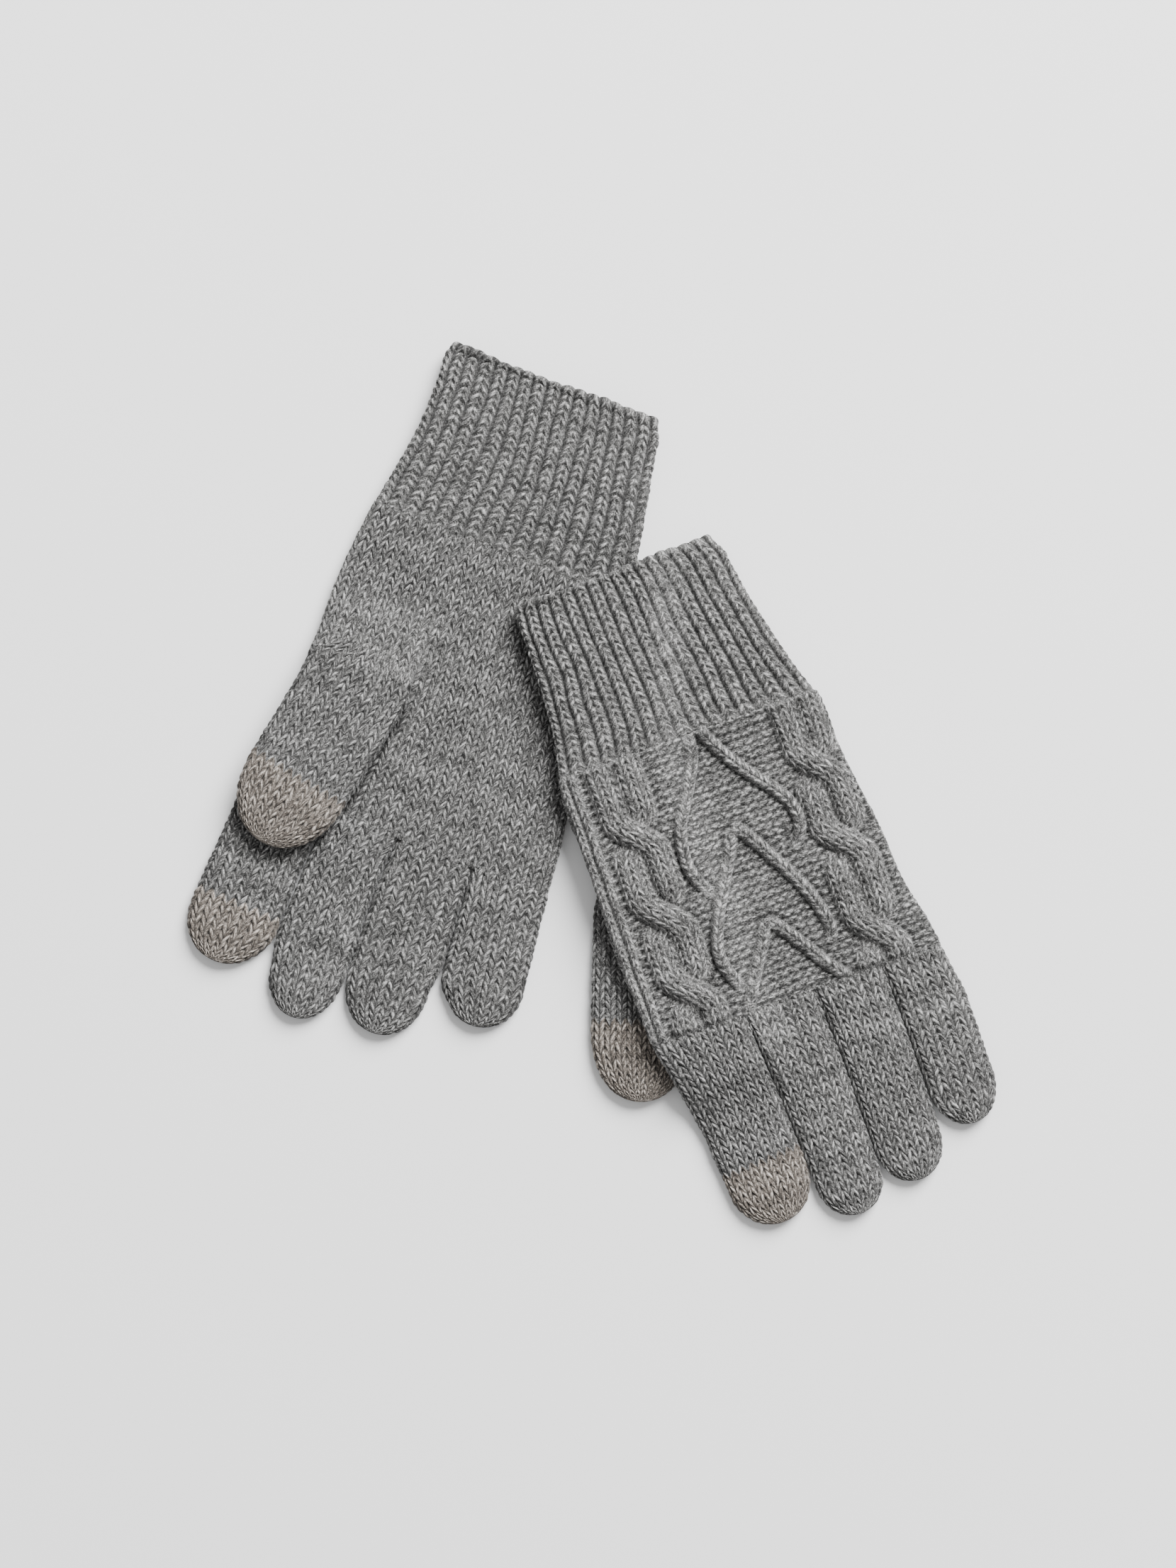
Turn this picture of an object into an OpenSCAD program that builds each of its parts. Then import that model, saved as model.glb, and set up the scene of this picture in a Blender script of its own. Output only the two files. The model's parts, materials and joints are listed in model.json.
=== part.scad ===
// A pair of knitted five-finger gloves, lying flat, the left one partly over the right one.
// Units are millimetres. Each glove is drawn in its own frame: X to the thumb side, Y to the fingertips, Z up.
// The right glove lies palm up with its thumb folded over the palm. The left glove lies back up over it.

/* [Lie] */
// X of the middle of the right cuff mouth
right_x = -11.65; // [-60:0.1:60]
// Y of the middle of the right cuff mouth
right_y = 137; // [80:0.1:180]
// turn of the right glove about Z, degrees
right_turn = 158.3; // [120:0.1:240]
// X of the middle of the left cuff mouth
left_x = 7.35; // [-60:0.1:60]
// Y of the middle of the left cuff mouth
left_y = 72.1; // [20:0.1:120]
// turn of the left glove about Z, degrees
left_turn = 199.6; // [120:0.1:240]
// how far the left glove's thumb side is lifted by what lies under it
drape_lift = 7; // [6.6:0.1:9]
// width of the slope between the lifted side and the surface
drape_width = 16; // [10:0.5:30]

/* [Fabric] */
// total height of the flattened hand, both layers
hand_height = 6; // [5:0.1:7]
// space left between the palm and the back of the flattened hand
hand_space = 0.6; // [0.3:0.1:1]
// width of the folded side edge, where the layers meet
side_wall = 2.8; // [2:0.1:4]
// height of a flattened finger
finger_height = 5.6; // [4.6:0.1:6]
// running gap between pieces that move past each other
gap = 0.35; // [0.2:0.05:0.6]
// squareness of the flattened section
square = 3; // [2:0.1:5]

/* [Cuff] */
// length of the ribbed cuff from its mouth to the hand
cuff_length = 61; // [40:0.5:80]
// height of the open cuff mouth
cuff_height = 9.4; // [8.4:0.1:11]
// clear space inside the cuff mouth
cuff_space = 4.7; // [4.2:0.1:6]
// width of the cast-on edge round the mouth
welt_width = 3.4; // [2:0.1:5]
// ribs round the cuff
rib_count = 28; // [20:2:36]
// depth of the grooves between ribs
rib_depth = 0.7; // [0:0.05:1]

/* [Fingers] */
// distance from the cuff mouth to the right glove's finger roots
right_root = 165; // [150:0.5:180]
// distance from the cuff mouth to the left glove's finger roots
left_root = 158; // [150:0.5:180]
// roundness of the fingertips
tip_power = 2.1; // [1.6:0.05:3]
// points round a finger
finger_points = 24; // [12:4:40]
// length of the contrast tip on the index fingers
index_tip = 22; // [10:0.5:35]
// length of the contrast tip on the thumbs
thumb_tip = 27; // [10:0.5:40]

/* [Hidden] */
grey = [0.55, 0.55, 0.54];
grey_rib = [0.5, 0.5, 0.49];
taupe = [0.56, 0.52, 0.47];

// edges of each hand along its length: [y, x], thumb side and little-finger side
right_out = [[0, 40.6], [14, 38.9], [33, 39.2], [61, 43.6], [76, 45], [89, 45.8], [112, 45], [133, 46],
  [150, 48], [165, 49.4], [200, 51]];
right_in = [[0, -39.2], [20, -43], [41, -47.6], [61, -50.2], [90, -53], [142, -59], [150, -60.8],
  [165, -62], [200, -64]];
left_out = [[0, 37], [28, 37.4], [50, 39], [64, 42.6], [74, 43.6], [86, 42.6], [104, 42.8], [124, 43.8],
  [138, 43], [158, 42], [200, 38]];
left_in = [[0, -37.6], [8, -39], [22, -41], [37, -44.7], [51, -48], [64, -52.6], [80, -53], [89, -54],
  [101, -55.4], [110, -57], [135, -58.4], [145, -61.4], [158, -63.4], [200, -66]];

// fingers: [hinge x, hinge y, lean, half width, length past the hinge, root x, root half width]
right_fingers = [[35.2, 190, 2, 15.3, 38.3, 33.7, 15.5], [6.7, 186, -3, 12.7, 50.4, 5.3, 12.2],
  [-20.6, 182, -3.5, 14.3, 49.3, -20.7, 13.3], [-49.2, 172, -8, 13.8, 44.6, -48.1, 13.7]];
left_fingers = [[21.3, 193, -3.5, 14.2, 37.3, 25.4, 16.4], [-5.9, 190, -0.6, 11.5, 46.4, -4.2, 12.4],
  [-30.3, 186, 1.2, 11.6, 46.2, -29.2, 12], [-54, 176, 0.5, 11.6, 44.1, -52.6, 10.8]];
// thumbs: [hinge x, hinge y, lean, half width, length past the hinge]
right_thumb_line = [25, 118, 9.6, 18.6, 67];
left_thumb_line = [30, 116, 20.8, 17.4, 63];
gusset_right = 90;
gusset_left = 82;

function clamp01(t) = max(0, min(1, t));
function smooth(t) = let(u = clamp01(t)) u*u*(3 - 2*u);
// height by which the left glove is lifted at a point of its own frame
function drape(x, y) = drape_lift * smooth((x + 26 - 20*clamp01(y/70)) / drape_width)
  * (1 - smooth((y - 168) / 22));
function spow(v, p) = v >= 0 ? pow(v, p) : -pow(-v, p);
// a point of the flattened section, flat above and below
function sec(a, n) = [spow(cos(a), 2/n), max(-1, min(1, 1.12*spow(sin(a), 2/n)))];
// where to lift: side 0 is the right glove, side 1 is the left one
function lift(side, x, y) = side == 1 ? drape(x, y) : 0;
function pt(side, c, f, u, z, hold = 0) = let(x = c[0] + u*cos(f), y = c[1] - u*sin(f))
  [x, y, z + lift(side, x, y + hold)];

// closed ring: centre, direction, half width, underside, height
function ring(side, c, f, hw, z0, ht, n = 24, hold = 0) = [for (i = [0:n-1]) let(p = sec(360*i/n, square))
  pt(side, c, f, hw*p[0], z0 + ht/2*(1 + p[1]), hold)];
// ring with ribs
function ribbed(side, c, hw, z0, ht, n, d) = [for (i = [0:n-1])
  let(p = sec(360*(i + 0.5)/n, square), k = i % 2 == 0 ? 1 : 0)
  pt(side, c, 0, (hw - k*d)*p[0], z0 + ht/2 + (ht/2 - k*d)*p[1])];

// solid skin over a list of rings that run along +Y
module loft(rings) {
  n = len(rings[0]);
  m = len(rings);
  points = [for (r = rings) for (p = r) p];
  sides = [for (j = [0:m-2]) for (i = [0:n-1]) let(a = j*n + i, b = j*n + (i + 1) % n)
    each [[a, b, b + n], [a, b + n, a + n]]];
  low = [for (i = [1:n-2]) [0, i + 1, i]];
  high = [for (i = [1:n-2]) let(o = (m-1)*n) [o, o + i, o + i + 1]];
  polyhedron(points = points, faces = concat(sides, low, high));
}
// open tube from outer rings and inner rings of the same count
module tube(outer, inner) {
  n = len(outer[0]);
  m = len(outer);
  q = n*m;
  points = concat([for (r = outer) for (p = r) p], [for (r = inner) for (p = r) p]);
  skin = [for (j = [0:m-2]) for (i = [0:n-1]) let(a = j*n + i, b = j*n + (i + 1) % n)
    each [[a, b, b + n], [a, b + n, a + n], [q + a, q + b + n, q + b], [q + a, q + a + n, q + b + n]]];
  low = [for (i = [0:n-1]) let(b = (i + 1) % n) each [[i, q + i, q + b], [i, q + b, b]]];
  high = [for (i = [0:n-1]) let(o = (m-1)*n, b = (i + 1) % n)
    each [[o + i, o + b, q + o + b], [o + i, q + o + b, q + o + i]]];
  polyhedron(points = points, faces = concat(skin, low, high));
}
// one layer of the flattened hand: each ring has k outer points, then k - 2 points on its flat inner face
module layer(rings) {
  n = len(rings[0]);
  k = (n + 2)/2;
  m = len(rings);
  o = (m - 1)*n;
  points = [for (r = rings) for (p = r) p];
  sides = [for (j = [0:m-2]) for (i = [0:n-1]) let(a = j*n + i, b = j*n + (i + 1) % n)
    each [[a, b, b + n], [a, b + n, a + n]]];
  low = concat([[0, n - 1, 1], [k - 2, k, k - 1]],
    [for (i = [1:k-3]) let(c = n - i, d = n - 1 - i) each [[i, c, d], [i, d, i + 1]]]);
  high = [for (f = low) [o + f[0], o + f[2], o + f[1]]];
  polyhedron(points = points, faces = concat(sides, low, high));
}

function body_height(y) = lookup(y, [[0, cuff_height], [26, cuff_height - 0.3], [46, 7.2],
  [cuff_length, 6.2], [cuff_length + 20, hand_height], [220, hand_height]]);
function body_space(y) = lookup(y, [[0, cuff_space], [26, cuff_space - 0.2], [46, 2.4],
  [cuff_length, 1.2], [cuff_length + 20, hand_space], [220, hand_space]]);
function edge(side, out, y) = lookup(y, side == 1 ? (out ? left_out : left_in) : (out ? right_out : right_in));
function mid(side, y) = (edge(side, true, y) + edge(side, false, y))/2;
function half(side, y) = (edge(side, true, y) - edge(side, false, y))/2;

// one layer of the hand between two stations; top is true for the upper layer
module hand_layer(side, y0, y1, top) {
  k = 19;
  steps = ceil((y1 - y0)/8);
  t0 = 1;
  rings = [for (j = [0:steps]) let(y = y0 + (y1 - y0)*j/steps, c = [mid(side, y), y], hw = half(side, y),
      ht = body_height(y), g = body_space(y)/ht, v = top ? 1 : -1,
      arc = [for (i = [0:k-1]) let(a = (top ? 0 : 180) + t0 + (180 - 2*t0)*i/(k-1), p = sec(a, square))
        [hw*p[0], v*max(abs(p[1]), g)]])
    concat([for (p = arc) pt(side, c, 0, p[0], ht/2*(1 + p[1]))],
      [for (i = [k-2:-1:1]) pt(side, c, 0, arc[i][0], ht/2*(1 + v*g))])];
  layer(rings);
}
module cuff_tube(side, y0, y1, d, grow) {
  steps = max(1, ceil((y1 - y0)/7));
  n = 2*rib_count;
  ys = [for (j = [0:steps]) y0 + (y1 - y0)*j/steps];
  outer = [for (y = ys) ribbed(side, [mid(side, y), y], half(side, y) + grow, 0, body_height(y), n, d)];
  inner = [for (y = ys) let(g = body_space(y))
    ribbed(side, [mid(side, y), y], half(side, y) - side_wall, body_height(y)/2 - g/2, g, n, 0)];
  tube(outer, inner);
}

function tip_round(t) = pow(max(0, 1 - pow(t, tip_power)), 1/tip_power);
// stations of a rounded tip between s0 and s1
function tip_stations(s0, s1) = [for (t = [0, 0.3, 0.52, 0.7, 0.83, 0.92, 0.975]) s0 + (s1 - s0)*t];
function along(c, f, s) = [c[0] + s*sin(f), c[1] + s*cos(f)];
// ring of a finger or thumb at distance s past its hinge
function digit_ring(side, d, s, z0, ht, round_from, n) =
  let(L = d[4], t = clamp01((s - round_from)/(L - round_from)), w = tip_round(t),
    c = along([d[0], d[1]], d[2], s), h = ht*pow(max(w, 0.02), 0.55))
  ring(side, c, d[2], d[3]*w, z0 + (ht - h)*0.42, h, n, 0);
// moving part of a finger: round behind the hinge
module digit(side, d, z0, ht, s1, round_from) {
  r = ht/2;
  n = finger_points;
  back = [for (a = [14, 34, 58]) ring(side, along([d[0], d[1]], d[2], -r*cos(a)), d[2], d[3] - 0.4*cos(a),
    z0 + r - r*sin(a), 2*r*sin(a), n, r*cos(a))];
  end = min(s1, d[4]*0.995);
  flat = [for (s = [0:7:min(round_from, end) - 2]) s];
  tip = [for (s = tip_stations(round_from, d[4])) if (s <= end) s];
  ss = concat(flat, tip, end < d[4]*0.97 ? [end] : []);
  loft(concat(back, [for (s = ss) digit_ring(side, d, s, z0, ht, round_from, n)]));
}
// contrast tip of a finger or thumb, from s0 to the end
module digit_tip(side, d, z0, ht, s0, round_from) {
  n = finger_points;
  ss = concat([s0], [for (s = [s0 + 4:5:round_from - 2]) s],
    [for (s = tip_stations(round_from, d[4])) if (s > s0 + 1) s]);
  loft([for (s = ss) digit_ring(side, d, s, z0, ht, round_from, n)]);
}
// fixed root of a finger, from the hand to just behind the hinge
module digit_base(side, d, root, z0) {
  r = finger_height/2;
  n = finger_points;
  c1 = along([d[0], d[1]], d[2], -r - gap);
  steps = 4;
  loft([for (j = [0:steps]) let(t = j/steps, f = d[2]*smooth(t), x = d[5] + (c1[0] - d[5])*t,
      y = root + 0.3 + (c1[1] - root - 0.3)*t)
    ring(side, [x, y], f, d[6] + (d[3] - d[6])*t, z0, hand_height + (finger_height - hand_height)*t, n)]);
}

module place_right() translate([right_x, right_y, 0]) rotate(right_turn) children();
module place_left() translate([left_x, left_y, 0]) rotate(left_turn) children();

module right_cuff() color(grey_rib) place_right() cuff_tube(0, welt_width + 0.3, cuff_length, rib_depth, 0);
module right_cuff_welt() color(grey_rib) place_right() cuff_tube(0, 0, welt_width, 0, 0.5);
module right_palm() color(grey) place_right() hand_layer(0, cuff_length + 0.3, right_root, true);
module right_back() color(grey) place_right() hand_layer(0, cuff_length + 0.3, right_root, false);
// the knit that widens into the thumb, on top of the palm
module right_thumb_gusset() color(grey) place_right() {
  d = right_thumb_line;
  c1 = along([d[0], d[1]], d[2], -finger_height/2 - gap);
  steps = 5;
  loft([for (j = [0:steps]) let(t = j/steps, x = 28 + (c1[0] - 28)*t,
      y = gusset_right + (c1[1] - gusset_right)*t)
    ring(0, [x, y], d[2]*t, 8 + (d[3] - 8)*smooth(t*1.2), hand_height + 0.2,
      0.5 + (finger_height - 0.5)*smooth(t), finger_points)]);
}
module right_thumb() color(grey) place_right()
  digit(0, right_thumb_line, hand_height + 0.3, finger_height, right_thumb_line[4] - thumb_tip - 0.15, 42);
module right_thumb_tip() color(taupe) place_right()
  digit_tip(0, right_thumb_line, hand_height + 0.3, finger_height, right_thumb_line[4] - thumb_tip + 0.15, 42);
module right_index_base() color(grey) place_right() digit_base(0, right_fingers[0], right_root, 0);
module right_index() color(grey) place_right()
  digit(0, right_fingers[0], 0, finger_height, right_fingers[0][4] - index_tip - 0.15, 22);
module right_index_tip() color(taupe) place_right()
  digit_tip(0, right_fingers[0], 0, finger_height, right_fingers[0][4] - index_tip + 0.15, 22);
module right_middle_base() color(grey) place_right() digit_base(0, right_fingers[1], right_root, 0);
module right_middle() color(grey) place_right() digit(0, right_fingers[1], 0, finger_height, 99, 34);
module right_ring_base() color(grey) place_right() digit_base(0, right_fingers[2], right_root, 0);
module right_ring() color(grey) place_right() digit(0, right_fingers[2], 0, finger_height, 99, 32);
module right_little_base() color(grey) place_right() digit_base(0, right_fingers[3], right_root, 0);
module right_little() color(grey) place_right() digit(0, right_fingers[3], 0, finger_height, 99, 28);

module left_cuff() color(grey_rib) place_left() cuff_tube(1, welt_width + 0.3, cuff_length, rib_depth, 0);
module left_cuff_welt() color(grey_rib) place_left() cuff_tube(1, 0, welt_width, 0, 0.5);
module left_back() color(grey) place_left() hand_layer(1, cuff_length + 0.3, left_root, true);
module left_palm() color(grey) place_left() hand_layer(1, cuff_length + 0.3, left_root, false);
// the knit that widens into the thumb, under the palm
module left_thumb_gusset() color(grey) place_left() {
  d = left_thumb_line;
  c1 = along([d[0], d[1]], d[2], -d[3] - gap);
  steps = 4;
  top = drape_lift - 0.35;
  loft([for (j = [0:steps]) let(t = j/steps, x = 26 + (c1[0] + 1.5 - 26)*t,
      y = gusset_left + (c1[1] - 0.6 - gusset_left)*t, h = 0.6 + (top - 1)*smooth(t))
    ring(0, [x, y], d[2]*t, 7 + (14 - 7)*smooth(t), top - h, h, finger_points)]);
}
// the left thumb lies flat under the hand and turns in the plane of the table
module left_thumb() color(grey) place_left() {
  d = left_thumb_line;
  n = finger_points;
  back = [for (a = [12, 26, 42, 58, 74]) ring(0, along([d[0], d[1]], d[2], -d[3]*cos(a)), d[2], d[3]*sin(a),
    0.1, 6.2, n)];
  ss = concat([for (s = [0:8:34]) s], [d[4] - thumb_tip - 0.15]);
  loft(concat(back, [for (s = ss) digit_ring(0, d, s, 0.1, 6.2, 38, n)]));
}
module left_thumb_tip() color(taupe) place_left()
  digit_tip(0, left_thumb_line, 0.1, 6.2, left_thumb_line[4] - thumb_tip + 0.15, 38);
module left_index_base() color(grey) place_left() digit_base(1, left_fingers[0], left_root, 0);
module left_index() color(grey) place_left()
  digit(1, left_fingers[0], 0, finger_height, left_fingers[0][4] - index_tip - 0.15, 21);
module left_index_tip() color(taupe) place_left()
  digit_tip(1, left_fingers[0], 0, finger_height, left_fingers[0][4] - index_tip + 0.15, 21);
module left_middle_base() color(grey) place_left() digit_base(1, left_fingers[1], left_root, 0);
module left_middle() color(grey) place_left() digit(1, left_fingers[1], 0, finger_height, 99, 33);
module left_ring_base() color(grey) place_left() digit_base(1, left_fingers[2], left_root, 0);
module left_ring() color(grey) place_left() digit(1, left_fingers[2], 0, finger_height, 99, 33);
module left_little_base() color(grey) place_left() digit_base(1, left_fingers[3], left_root, 0);
module left_little() color(grey) place_left() digit(1, left_fingers[3], 0, finger_height, 99, 31);

right_cuff();
right_cuff_welt();
right_palm();
right_back();
right_thumb_gusset();
right_thumb();
right_thumb_tip();
right_index_base();
right_index();
right_index_tip();
right_middle_base();
right_middle();
right_ring_base();
right_ring();
right_little_base();
right_little();
left_cuff();
left_cuff_welt();
left_palm();
left_back();
left_thumb_gusset();
left_thumb();
left_thumb_tip();
left_index_base();
left_index();
left_index_tip();
left_middle_base();
left_middle();
left_ring_base();
left_ring();
left_little_base();
left_little();
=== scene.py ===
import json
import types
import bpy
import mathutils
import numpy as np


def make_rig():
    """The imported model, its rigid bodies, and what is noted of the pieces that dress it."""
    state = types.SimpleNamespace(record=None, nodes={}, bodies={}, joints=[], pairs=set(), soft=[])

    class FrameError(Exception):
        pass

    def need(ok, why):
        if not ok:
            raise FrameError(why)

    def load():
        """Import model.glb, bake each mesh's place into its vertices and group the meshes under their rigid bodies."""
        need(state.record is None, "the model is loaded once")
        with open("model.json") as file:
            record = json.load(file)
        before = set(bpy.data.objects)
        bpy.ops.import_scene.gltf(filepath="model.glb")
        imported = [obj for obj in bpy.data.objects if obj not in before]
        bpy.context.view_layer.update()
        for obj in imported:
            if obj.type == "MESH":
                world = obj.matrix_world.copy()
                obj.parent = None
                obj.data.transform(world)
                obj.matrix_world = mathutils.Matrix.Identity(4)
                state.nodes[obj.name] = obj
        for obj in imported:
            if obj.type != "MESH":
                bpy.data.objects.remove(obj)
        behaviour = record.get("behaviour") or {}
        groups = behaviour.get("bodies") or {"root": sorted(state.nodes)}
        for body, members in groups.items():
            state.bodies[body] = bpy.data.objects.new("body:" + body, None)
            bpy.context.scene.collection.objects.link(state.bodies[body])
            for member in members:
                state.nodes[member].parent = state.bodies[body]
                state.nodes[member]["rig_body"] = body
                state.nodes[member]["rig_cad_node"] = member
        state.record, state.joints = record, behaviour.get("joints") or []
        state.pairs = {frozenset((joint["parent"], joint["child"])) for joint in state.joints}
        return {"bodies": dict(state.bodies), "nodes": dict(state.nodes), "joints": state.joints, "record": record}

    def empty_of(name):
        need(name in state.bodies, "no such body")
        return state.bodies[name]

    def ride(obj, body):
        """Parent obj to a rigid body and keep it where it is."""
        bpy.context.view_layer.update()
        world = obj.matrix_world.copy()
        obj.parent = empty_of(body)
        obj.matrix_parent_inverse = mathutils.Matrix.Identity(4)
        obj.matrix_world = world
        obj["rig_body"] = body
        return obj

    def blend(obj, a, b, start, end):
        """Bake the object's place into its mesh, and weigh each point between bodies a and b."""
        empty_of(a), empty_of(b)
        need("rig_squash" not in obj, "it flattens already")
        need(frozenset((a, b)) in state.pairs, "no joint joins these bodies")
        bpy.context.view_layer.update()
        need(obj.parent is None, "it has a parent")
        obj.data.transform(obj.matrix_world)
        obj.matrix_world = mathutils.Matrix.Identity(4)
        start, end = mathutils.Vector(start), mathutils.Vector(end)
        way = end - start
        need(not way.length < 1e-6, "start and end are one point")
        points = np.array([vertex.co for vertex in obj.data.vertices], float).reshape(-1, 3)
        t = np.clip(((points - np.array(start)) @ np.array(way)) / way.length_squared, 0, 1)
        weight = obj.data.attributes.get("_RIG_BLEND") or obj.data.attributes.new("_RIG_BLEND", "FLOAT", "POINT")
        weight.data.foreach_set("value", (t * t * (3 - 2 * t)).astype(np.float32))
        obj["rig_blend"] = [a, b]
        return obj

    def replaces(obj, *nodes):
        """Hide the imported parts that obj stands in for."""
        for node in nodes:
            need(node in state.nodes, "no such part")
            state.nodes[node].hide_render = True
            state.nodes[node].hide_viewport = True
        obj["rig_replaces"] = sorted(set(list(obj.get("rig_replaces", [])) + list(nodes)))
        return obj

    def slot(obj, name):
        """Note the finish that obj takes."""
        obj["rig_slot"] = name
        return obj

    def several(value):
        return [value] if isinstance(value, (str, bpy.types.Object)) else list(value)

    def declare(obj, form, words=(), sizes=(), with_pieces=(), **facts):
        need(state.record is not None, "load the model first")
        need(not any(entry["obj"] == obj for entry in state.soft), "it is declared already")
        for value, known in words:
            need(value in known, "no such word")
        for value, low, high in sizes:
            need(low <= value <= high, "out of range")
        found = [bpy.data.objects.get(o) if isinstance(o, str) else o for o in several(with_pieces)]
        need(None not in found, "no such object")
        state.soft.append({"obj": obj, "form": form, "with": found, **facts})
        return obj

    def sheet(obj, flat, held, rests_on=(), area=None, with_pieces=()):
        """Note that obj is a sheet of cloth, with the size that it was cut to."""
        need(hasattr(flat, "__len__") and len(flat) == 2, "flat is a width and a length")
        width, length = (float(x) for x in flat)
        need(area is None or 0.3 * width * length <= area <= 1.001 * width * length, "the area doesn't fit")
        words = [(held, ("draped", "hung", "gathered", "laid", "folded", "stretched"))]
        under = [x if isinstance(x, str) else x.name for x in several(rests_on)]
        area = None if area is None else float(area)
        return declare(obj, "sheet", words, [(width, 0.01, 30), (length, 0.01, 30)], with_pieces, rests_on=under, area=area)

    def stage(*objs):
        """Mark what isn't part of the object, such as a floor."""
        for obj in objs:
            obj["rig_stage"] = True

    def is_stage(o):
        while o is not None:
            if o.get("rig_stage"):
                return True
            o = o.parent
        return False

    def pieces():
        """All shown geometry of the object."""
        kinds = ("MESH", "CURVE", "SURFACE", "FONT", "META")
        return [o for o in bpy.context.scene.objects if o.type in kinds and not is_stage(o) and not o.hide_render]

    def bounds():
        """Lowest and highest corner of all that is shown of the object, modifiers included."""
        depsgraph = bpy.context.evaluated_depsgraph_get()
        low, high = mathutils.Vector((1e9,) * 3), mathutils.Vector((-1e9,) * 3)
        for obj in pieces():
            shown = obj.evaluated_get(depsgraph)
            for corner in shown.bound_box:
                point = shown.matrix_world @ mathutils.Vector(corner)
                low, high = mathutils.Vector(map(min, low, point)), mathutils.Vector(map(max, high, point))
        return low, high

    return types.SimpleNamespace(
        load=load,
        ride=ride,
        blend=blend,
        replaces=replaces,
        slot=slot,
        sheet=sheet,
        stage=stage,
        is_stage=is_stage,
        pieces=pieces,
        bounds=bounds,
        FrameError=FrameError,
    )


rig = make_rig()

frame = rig.load()
cad_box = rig.bounds()

import json
import math
from collections import namedtuple

import bpy
import numpy as np
from mathutils import Vector

# A pair of knitted gloves lying flat, the left one over the right. Each glove is made in its own coordinates,
# in millimetres: x from its middle line towards the thumb side, y from the mouth of the cuff towards the
# fingers, z up from the table. to_world() lays it where the CAD has it. Every stitch is shaped in the mesh: a
# smooth base surface is sampled over wales (p, across) and courses (q, along), and moved along its normal by
# the yarn's height.

# ---------------------------------------------------------------- layout, in millimetres and degrees
Place = namedtuple("Place", "x y turn")
Finger = namedtuple("Finger", "x y lean half length root_x root_half wales")
Thumb = namedtuple("Thumb", "x y lean half length wales")

SIDES = ("right", "left")
LEFT = {"right": 0, "left": 1}  # added to a seed, so that the two gloves differ, and turns the drape on
PLACE = {"right": Place(-11.65, 137.0, 158.3), "left": Place(7.35, 72.1, 199.6)}
LIES_ON = {"right": [], "left": ["right_palm_knit"]}

CUFF = 61.0  # length of the cuff
ROOT = {"right": 165.0, "left": 158.0}  # where the fingers part from the hand
LIFT, LIFT_WIDTH = 7.0, 16.0  # the left cuff's rise over the right hand, and the width it rises in
FLOOR = 0.02  # the lowest that any point lies

# x of a hand's edge at points along it: (side, 1) is the thumb side, (side, -1) the little finger's
EDGE = {
    ("right", 1): [(0, 40.6), (14, 38.9), (33, 39.2), (61, 43.6), (76, 45), (89, 45.8), (112, 45), (133, 46),
                   (150, 48), (165, 49.4), (200, 51)],
    ("right", -1): [(0, -39.2), (20, -43), (41, -47.6), (61, -50.2), (90, -53), (142, -59), (150, -60.8),
                    (165, -62), (200, -64)],
    ("left", 1): [(0, 37), (28, 37.4), (50, 39), (64, 42.6), (74, 43.6), (86, 42.6), (104, 42.8), (124, 43.8),
                  (138, 43), (158, 42), (200, 38)],
    ("left", -1): [(0, -37.6), (8, -39), (22, -41), (37, -44.7), (51, -48), (64, -52.6), (80, -53), (89, -54),
                   (101, -55.4), (110, -57), (135, -58.4), (145, -61.4), (158, -63.4), (200, -66)],
}
# height of the flattened tube, and of the space inside it, along y
ALONG = [0, 26, 46, 61, 81, 220]
HEIGHT = [9.4, 9.1, 7.4, 6.4, 6.0, 6.0]
SPACE = [4.7, 4.5, 2.4, 1.2, 0.6, 0.6]

# x and y are a digit's hinge, half its half width, and length runs from the hinge to the tip
FINGERS = {
    "right": {
        "index": Finger(35.2, 190, 2, 15.3, 38.3, 33.7, 15.6, 8),
        "middle": Finger(6.7, 186, -3, 12.8, 50.4, 5.3, 12.4, 7),
        "ring": Finger(-20.6, 182, -3.5, 14.3, 49.3, -20.7, 13.4, 7),
        "little": Finger(-49.2, 172, -8, 13.8, 44.6, -48.1, 13.8, 7),
    },
    "left": {
        "index": Finger(21.3, 193, -3.5, 14.3, 37.3, 25.4, 16.5, 9),
        "middle": Finger(-5.9, 190, -0.6, 11.6, 46.4, -4.2, 12.6, 7),
        "ring": Finger(-30.3, 186, 1.2, 11.7, 46.2, -29.2, 12.1, 7),
        "little": Finger(-54, 176, 0.5, 11.7, 44.1, -52.2, 10.3, 6),
    },
}
ROUND_FROM = {"index": 21, "middle": 33, "ring": 32, "little": 29}  # from the hinge to where a tip rounds
THUMB = {"right": Thumb(25, 118, 9.6, 18.6, 67, 11), "left": Thumb(30, 116, 20.8, 17.4, 63, 10)}
INDEX_TIP, THUMB_TIP = 22.0, 27.0  # lengths in conductive yarn
TIP_POWER = 2.1  # 2 would be an ellipse
TIP_FABRIC = 1.3  # fabric over a rounded tip, for each mm of its length

# ---------------------------------------------------------------- gauge of the knit
COURSE, COURSE_FINGER, COURSE_RIB, COURSE_BACK = 2.7, 2.8, 2.6, 2.75
PALM_WALES, RIBS = 29, 34
PURL_WALE, CABLE_WALE = 3.66, 3.5
WALE_COLUMNS, COURSE_ROWS = 10, 6  # columns of vertices to a wale, and rows to a course
RIB_COLUMNS, RIB_ROWS = 12, 5
BACK_STEP = 0.37  # vertex spacing on the cabled back
RELIEF = 1.08  # depth of plain knit
FINGER_RELIEF = {"right": RELIEF, "left": 0.92}
RIB_RELIEF = {"right": 1.9, "left": 1.55}
SIDE_PAINTED_SHADE = {"right": 0.5, "left": 0.25}  # painted shade: how much darker a finger is painted down its sides, in the creases
FACE_COLS, TUBE_COLS, FINE_COLS = 512, 512, 1024  # steps across the base surfaces
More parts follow.
